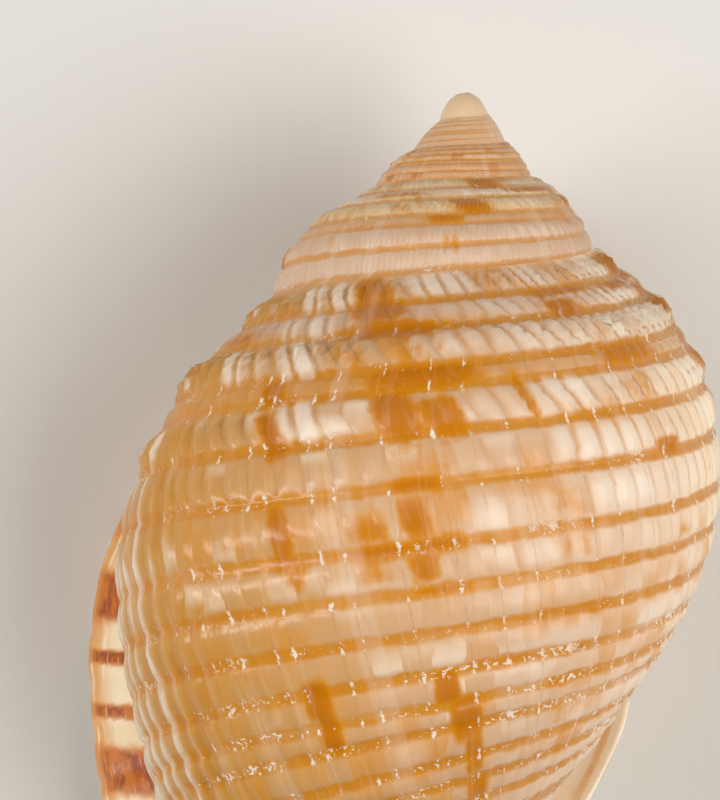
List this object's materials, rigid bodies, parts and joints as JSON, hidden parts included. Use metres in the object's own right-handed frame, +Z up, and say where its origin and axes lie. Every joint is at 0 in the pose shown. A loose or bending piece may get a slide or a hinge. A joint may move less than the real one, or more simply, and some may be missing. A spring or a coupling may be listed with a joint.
{
  "type": "scotch bonnet shell",
  "caption": "Egg-shaped spiral sea shell with a short pointed spire, a thick turned-out outer lip and a raised shield beside its long mouth.",
  "frame": {"origin": "middle of the footprint box, on the surface that the shell lies on, aperture down", "axes": "+Y along the coiling axis towards the apex, -X towards the outer lip, +Z up through the back of the shell"},
  "size_m": [0.0503, 0.075, 0.0419],
  "materials": {
    "shell": "satin natural shell, cream and pinkish beige with tan spiral grooves and orange-brown blotches"
  },
  "bodies": {
    "root": {"shell": "shell"}
  },
  "joints": []
}
